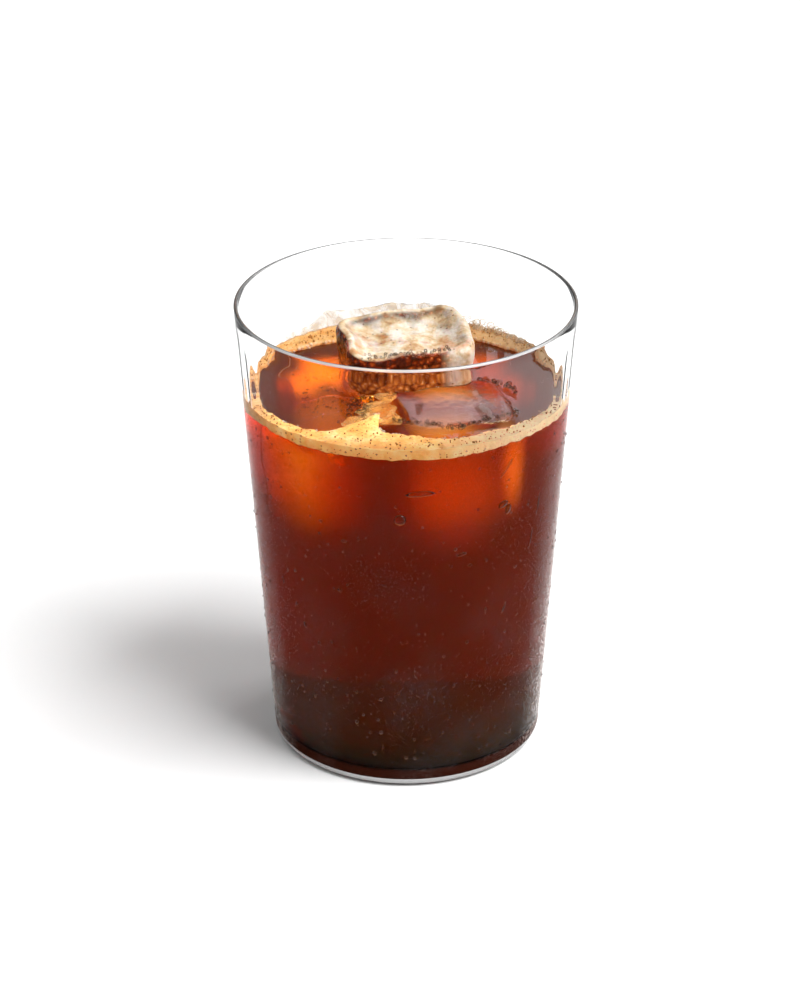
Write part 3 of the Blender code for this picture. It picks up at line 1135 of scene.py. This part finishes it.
def drop_places(chance, count):
    """The dew on the outside: named drops, and a thin scatter all round."""
    places = []
    for degrees, z, wide, high, lean in DROPS:
        depth = 0.6 * min(wide, high) * MM
        places.append(on_wall(degrees, z * MM, (wide * MM, high * MM, depth), lean, 0.02 * MM))
    for _ in range(count):
        size = (0.1 + 0.3 * chance.random() ** 3) * MM
        z = chance.uniform(4.0, 88.0) * MM
        sizes = (size, size * chance.uniform(0.9, 1.5), size * 0.7)
        places.append(on_wall(chance.uniform(0, 360), z, sizes, chance.uniform(-20, 20), 0.01 * MM))
    return places


def fog_places(chance):
    """Fogged patches on the outside: fine beads in uneven rows that thin out towards the edge."""
    places = []
    for middle, height, wide, high, dense in FOG_PATCHES:
        step_degrees = math.degrees(FOG_STEP * MM / outer_radius(height * MM))
        columns, rows = int(wide / step_degrees), int(high / FOG_STEP)
        for column in range(-columns, columns + 1):
            for row in range(-rows, rows + 1):
                degrees = middle + (column + chance.uniform(-0.4, 0.4)) * step_degrees
                z = height + (row + chance.uniform(-0.4, 0.4)) * FOG_STEP
                away = math.hypot((degrees - middle) / wide, (z - height) / high)
                if chance.random() < dense * (1 - away) * 1.4:
                    size = (0.1 + 0.13 * chance.random() ** 2) * MM
                    places.append(on_wall(degrees, z * MM, (size, size, size * 0.7), 0.0, 0.01 * MM))
    return places


def gas_places(chance):
    """Gas bubbles held by the wall inside the drink."""
    places = []
    for degrees, z, radius in GAS_BUBBLES:
        size = radius * MM
        places.append(on_wall(degrees, z * MM, (size, size, size), 0, -size * 1.05, True))
    for _ in range(GAS_COUNT):
        size = (0.08 + 0.25 * chance.random() ** 2) * MM
        z = (8.0 + 78.0 * chance.random() ** 1.4) * MM
        places.append(on_wall(chance.uniform(0, 360), z, (size, size, size), 0, -size * 1.05, True))
    return places


def along(points, count, chance, spread):
    """Random points near a line of points, in mm."""
    lengths = [0.0]
    for a, b in zip(points, points[1:]):
        lengths.append(lengths[-1] + (Vector(b) - Vector(a)).length)
    for _ in range(count):
        far = chance.uniform(0, lengths[-1])
        i = max(k for k in range(len(points) - 1) if lengths[k] <= far)
        share = (far - lengths[i]) / (lengths[i + 1] - lengths[i])
        spot = Vector(points[i]).lerp(Vector(points[i + 1]), share)
        yield spot + Vector([chance.gauss(0, spread) for _ in range(3)])


def surface_places(chance):
    """Beads on the drink's surface: a cluster by the tongue of foam, and a thin scatter."""
    places = []
    for _ in range(CLUSTER_COUNT):
        x, y = chance.gauss(-10.5, 2.2), chance.gauss(-11.0, 3.6)
        size = chance.uniform(0.22, 0.62) * MM
        places.append(ball_at((x * MM, y * MM, LEVEL + size * 0.25), size))
    for _ in range(SPECK_COUNT):
        x, y = chance.uniform(-30, -6), chance.uniform(-16, 8)
        if math.hypot(x, y) < 29:
            size = chance.uniform(0.1, 0.26) * MM
            places.append(ball_at((x * MM, y * MM, LEVEL + size * 0.3), size))
    return places


def edge_places(chance):
    """Beads along the front edges of the ice, where the drink's gas gathers."""
    places = []
    for line, count, sizes in ICE_EDGES:
        for spot in along(line, count, chance, 0.35):
            size = chance.uniform(*sizes) * MM
            places.append(ball_at(spot * MM, size))
    return places


def foam_bubble_places(chance):
    """Bigger bubbles in the crema: a run on the wall at the back right, and small ones all round."""
    places = []
    for _ in range(WALL_BUBBLES):
        degrees = chance.triangular(34, 74, 60)
        size = chance.uniform(0.4, 1.05) * MM
        z = LEVEL + chance.uniform(1.2, 1.8 + 2.2 * bump_at(degrees, 62, 10)) * MM
        places.append(on_wall(degrees, z, (size, size, size), 0, -size * 0.8, True))
    for _ in range(EDGE_BUBBLES):
        degrees = chance.uniform(0, 360)
        radius = crema_inner_edge(degrees) + chance.uniform(-0.3, 0.8) * MM
        size = chance.uniform(0.15, 0.42) * MM
        z = LEVEL + chance.uniform(0.1, 0.7) * MM
        places.append(ball_at(around(radius, degrees, z), size))
    return places


def speck_places(chance):
    """Burst bubbles in the crema, as dark specks: on its top, and on its face against the wall."""
    places = []
    for _ in range(CREMA_SPECKS):
        degrees = chance.uniform(0, 360)
        size = (0.07 + 0.16 * chance.random() ** 3) * MM
        if chance.random() < 0.4:
            z = LEVEL + chance.triangular(-0.7, 1.6, -0.4) * MM
            places.append(on_wall(degrees, z, (size, size, size * 0.5), 0, REACH * 0.8, True))
        else:
            share = chance.uniform(0.05, 0.9)
            radius = inner_radius(LEVEL) * (1 - share) + crema_inner_edge(degrees) * share
            z = LEVEL + (1.45 - 0.45 * share**3) * MM
            places.append(ball_at(around(radius, degrees, z), size, 1.6))
    return places


def coffee_section():
    """Out along the floor, up the wall to the meniscus and in along the level to the axis."""
    floor = FLOOR - REACH
    fillet_z = RIB_FOOT
    fillet_radius = FLOOR_FILLET + REACH
    fillet = arc((inner_radius(fillet_z) - FLOOR_FILLET, fillet_z), fillet_radius, -math.pi / 2, -TAPER, 8)
    top = LEVEL
    wall = [
        (inner_radius(z) + REACH, z) for _, z in straight(fillet[-1], (0.0, top), 50)
    ]
    edge = (inner_radius(top) + REACH, top)
    surface = straight(edge, (AXIS_RING, top), SURFACE_RINGS)
    return [
        (AXIS_RING, floor),
        (fillet[0][0] * 0.6, floor),
        *fillet,
        *wall,
        edge,
        *surface,
        (AXIS_RING, top),
    ]


def cut_by(obj, cutter, grow):
    """Cuts a copy of the cutter, grown or drawn in, out of a piece."""
    deselect()
    cutter.select_set(True)
    bpy.context.view_layer.objects.active = cutter
    bpy.ops.object.duplicate()
    tool = bpy.context.object
    apply_modifier(tool, "DISPLACE", strength=grow, mid_level=0.0, direction="NORMAL")
    apply_modifier(obj, "BOOLEAN", operation="DIFFERENCE", solver="MANIFOLD", object=tool)
    bpy.data.objects.remove(tool)


def raise_meniscus(obj):
    """Lifts the drink's surface where it wets the ice."""
    for name in CUBES:
        cube = bpy.data.objects[name + "_wet"]
        tree = BVHTree.FromObject(cube, bpy.context.evaluated_depsgraph_get())
        if max(corner[2] for corner in cube.bound_box) < LEVEL:
            continue
        for vertex in obj.data.vertices:
            if abs(vertex.co.z - LEVEL) < 0.01 * MM and vertex.co.xy.length < OPEN_RADIUS:
                distance = tree.find_nearest(vertex.co)[3]
                vertex.co.z += MENISCUS * math.exp(-distance / MENISCUS_REACH)


class PieceOperator:
    """What the operators share."""

    bl_options = {"REGISTER", "UNDO"}


class ESPRESSO_OT_tumbler(PieceOperator, bpy.types.Operator):
    """Models the tumbler with its ribs"""

    bl_idname = "espresso.tumbler"
    bl_label = "Tumbler"

    def execute(self, context):
        obj = turn_section(tumbler_section())
        add_ribs(obj, context.scene.espresso.rib_depth, 0.0)
        finish_piece(obj, "tumbler", clear_glass(), "glass", angle=60)
        wall = (FOOT_WALL + RIM_WALL) / 4
        high = HEIGHT - LIP_BAND
        low, upper = FOOT_BAND

        def outside(c):
            return c.xy.length > outer_radius(c.z) - wall

        # Painted highlights: the lip and the foot are painted with white light along the light's way
        lip = glass_with_painted_light("soda_lime_glass_lip", -80 * MM, 30 * MM, 0.45, ((0.3, 1.0), (0.6, 0.1)))
        foot = glass_with_painted_light("soda_lime_glass_foot", -50 * MM, 32 * MM, 0.6, ((0.0, 1.0), (0.9, 0.4)))
        give_finish(obj, lambda c: c.z > high, lip)
        give_finish(obj, lambda c: low < c.z < upper and outside(c), foot)
        give_finish(obj, lambda c: LEVEL < c.z < high, calm_glass("soda_lime_glass_wall"))
        give_finish(obj, lambda c: upper < c.z < LEVEL and outside(c), dewed_glass())
        wetted = calm_glass("soda_lime_glass_wetted")
        # The glass floor is tinted brown as painted shade, which darkens what shows through it from below
        floor_shade_tint = calm_glass("soda_lime_glass_stained_floor", "#8A5A44")
        give_finish(obj, lambda c: RIB_FOOT < c.z < LEVEL and not outside(c), wetted)
        give_finish(obj, lambda c: PUNT_DEPTH * 2 < c.z < RIB_FOOT and not outside(c), floor_shade_tint)
        return {"FINISHED"}


class ESPRESSO_OT_ice(PieceOperator, bpy.types.Operator):
    """Models the ice cubes"""

    bl_idname = "espresso.ice"
    bl_label = "Ice"

    def execute(self, context):
        finish = ice(False)
        for name in CUBES:
            obj = model_ice(name)
            if name == "ice_front":
                cut_by(obj, bpy.data.objects["ice_top_wet"], GAP)
            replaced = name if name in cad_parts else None
            skin = ice(True) if name == "ice_top" else finish
            finish_piece(obj, name + "_wet", skin, replaced, angle=80)
        return {"FINISHED"}


class ESPRESSO_OT_hazes_with_glow(PieceOperator, bpy.types.Operator):
    """Models the hazes with a painted glow, in the sunk ice and in the drink"""

    bl_idname = "espresso.ice_air"
    bl_label = "Air in the ice"

    def execute(self, context):
        settings = context.scene.espresso
        for name, (middle, half, density, glow) in CLOUDS.items():
            obj = model_cloud(name, middle, half)
            finish = haze_with_painted_glow(middle, half, (*settings.painted_haze_glow_colour, 1.0), density, glow)
            finish_piece(obj, name, finish, angle=180)
        return {"FINISHED"}


class ESPRESSO_OT_coffee(PieceOperator, bpy.types.Operator):
    """Models the drink with its hollows for the ice"""

    bl_idname = "espresso.coffee"
    bl_label = "Coffee"

    def execute(self, context):
        obj = turn_section(coffee_section())
        add_ribs(obj, -context.scene.espresso.rib_depth, REACH)
        raise_meniscus(obj)
        for name in CUBES:
            cut_by(obj, bpy.data.objects[name + "_wet"], -REACH)
        finish_piece(obj, "coffee", coffee(), "drink", angle=40)
        return {"FINISHED"}


class ESPRESSO_OT_beads(PieceOperator, bpy.types.Operator):
    """Models dew, gas bubbles and the beads on the surface"""

    bl_idname = "espresso.beads"
    bl_label = "Dew and bubbles"

    def execute(self, context):
        chance = random.Random(11)
        count = context.scene.espresso.dew_count
        dew = scatter("dew", drop_places(chance, count), flat=True)
        drops = bead("water_dew", WATER_IOR, "#240A04", 0.9, "#C06430", 0.8)
        finish_piece(dew, "dew", drops, angle=180)
        fog = scatter("fog", fog_places(chance), flat=True, segments=6, rings=4)
        mist = bead("water_fog", WATER_IOR, "#240A04", 0.7, "#A87058", 0.6)
        finish_piece(fog, "fog_beads", mist, angle=180)
        gas = scatter("gas", gas_places(chance))
        skin = bead("gas_bubble", 1.15, "#A87860", 0.7, "#E8C8B0", 0.8)
        finish_piece(gas, "gas_bubbles", skin, angle=180)
        foam = bead("bubble_on_coffee", 1.05, "#3A1408", 0.9, "#F0C898", 0.6)
        beads = scatter("beads", surface_places(chance))
        finish_piece(beads, "surface_beads", foam, angle=180)
        finish_piece(scatter("rows", edge_places(chance)), "ice_beads", foam, angle=180)
        return {"FINISHED"}


class ESPRESSO_OT_crema(PieceOperator, bpy.types.Operator):
    """Models the ring of crema"""

    bl_idname = "espresso.crema"
    bl_label = "Crema"

    def execute(self, context):
        obj = model_crema()
        finish_piece(obj, "crema_ring", crema_foam(), "crema", angle=80)
        thin = thin_foam("crema_raft_drained")
        film = thin_foam("crema_film_drained", "#DCC49A")
        finish_piece(model_film(), "crema_film", film, angle=80)
        for i, raft in enumerate(RAFTS):
            obj = model_raft(*raft, 0.15 + 0.07 * i)
            finish_piece(obj, "crema_raft_%d" % (i + 1), thin, angle=80)
        bubbles = scatter("bubbles", foam_bubble_places(random.Random(5)))
        finish_piece(bubbles, "crema_bubbles", bubble_skin(), angle=180)
        specks = scatter("specks", speck_places(random.Random(7)))
        finish_piece(specks, "crema_specks", burst_bubble(), angle=180)
        return {"FINISHED"}


def area_light(name, place, target, size, power):
    data = bpy.data.lights.new(name, "AREA")
    data.shape = "RECTANGLE"
    data.size, data.size_y = size
    data.energy = power
    lamp = bpy.data.objects.new(name, data)
    bpy.context.scene.collection.objects.link(lamp)
    lamp.location = place
    lamp.rotation_euler = (Vector(target) - Vector(place)).to_track_quat("-Z", "Y").to_euler()


class ESPRESSO_OT_stage(PieceOperator, bpy.types.Operator):
    """Sets the floor, the lights and the camera"""

    bl_idname = "espresso.stage"
    bl_label = "Stage"

    def execute(self, context):
        scene = context.scene
        deselect()
        bpy.ops.mesh.primitive_plane_add(size=1, location=(0, 0, -FLOOR_GAP))
        floor = context.object
        floor.name = "floor_sweep"
        floor.scale = (SWEEP_SIZE, SWEEP_SIZE, 1.0)
        bpy.ops.object.transform_apply(location=True, scale=True)
        floor.data.materials.append(studio_white())

        for name, (place, target, size, power) in LIGHTS.items():
            area_light(name, place, target, size, power)

        world = bpy.data.worlds.new("studio")
        scene.world = world
        world.use_nodes = True
        background = world.node_tree.nodes["Background"]
        background.inputs["Color"].default_value = linear("#FFFFFF")
        background.inputs["Strength"].default_value = ROOM_LIGHT

        data = bpy.data.cameras.new("camera")
        data.lens = LENS
        data.clip_start = 0.01
        camera = bpy.data.objects.new("camera", data)
        scene.collection.objects.link(camera)
        tilt = Matrix.Rotation(math.radians(90 - CAMERA_PITCH), 4, "X")
        roll = Matrix.Rotation(-math.radians(CAMERA_ROLL), 4, "Z")
        camera.matrix_world = Matrix.Translation(CAMERA_PLACE) @ tilt @ roll
        scene.camera = camera

        scene.view_settings.view_transform = "Standard"
        cycles = scene.cycles
        cycles.max_bounces = 24
        cycles.transmission_bounces = 24
        cycles.volume_bounces = 12
        cycles.transparent_max_bounces = 16
        cycles.sample_clamp_indirect = 10.0
        return {"FINISHED"}


class EspressoSettings(bpy.types.PropertyGroup):
    """Sizes that a user would change."""

    rib_depth: bpy.props.FloatProperty(
        name="Rib depth",
        description="How far the optic ribs stand in from the wall",
        default=0.05 * MM,
        unit="LENGTH",
        precision=5,
    )
    dew_count: bpy.props.IntProperty(
        name="Dew drops", description="Number of loose drops on the outside", default=1800, min=0
    )
    # The colour of the painted glow in the hazes of the ice and the drink
    painted_haze_glow_colour: bpy.props.FloatVectorProperty(
        name="Glow",
        description="Colour of the light that the trapped air gathers",
        default=linear("#FFA040")[:3],
        subtype="COLOR",
        min=0.0,
        max=1.0,
    )


OPERATORS = (
    ESPRESSO_OT_tumbler,
    ESPRESSO_OT_ice,
    ESPRESSO_OT_hazes_with_glow,
    ESPRESSO_OT_coffee,
    ESPRESSO_OT_crema,
    ESPRESSO_OT_beads,
    ESPRESSO_OT_stage,
)


class ESPRESSO_PT_panel(bpy.types.Panel):
    """Lists the pieces in the sidebar"""

    bl_label = "Espresso Tonic"
    bl_idname = "ESPRESSO_PT_panel"
    bl_space_type = "VIEW_3D"
    bl_region_type = "UI"
    bl_category = "Espresso Tonic"

    def draw(self, context):
        column = self.layout.column()
        for setting in ("rib_depth", "dew_count", "painted_haze_glow_colour"):
            column.prop(context.scene.espresso, setting)
        for operator in OPERATORS:
            column.operator(operator.bl_idname)


CLASSES = (EspressoSettings, *OPERATORS, ESPRESSO_PT_panel)


def register():
    for cls in CLASSES:
        bpy.utils.register_class(cls)
    bpy.types.Scene.espresso = bpy.props.PointerProperty(type=EspressoSettings)


def unregister():
    del bpy.types.Scene.espresso
    for cls in reversed(CLASSES):
        bpy.utils.unregister_class(cls)


def main():
    register()
    bpy.ops.espresso.tumbler()
    bpy.ops.espresso.ice()
    bpy.ops.espresso.ice_air()
    bpy.ops.espresso.coffee()
    bpy.ops.espresso.crema()
    bpy.ops.espresso.beads()
    bpy.ops.espresso.stage()


if __name__ == "__main__":
    main()
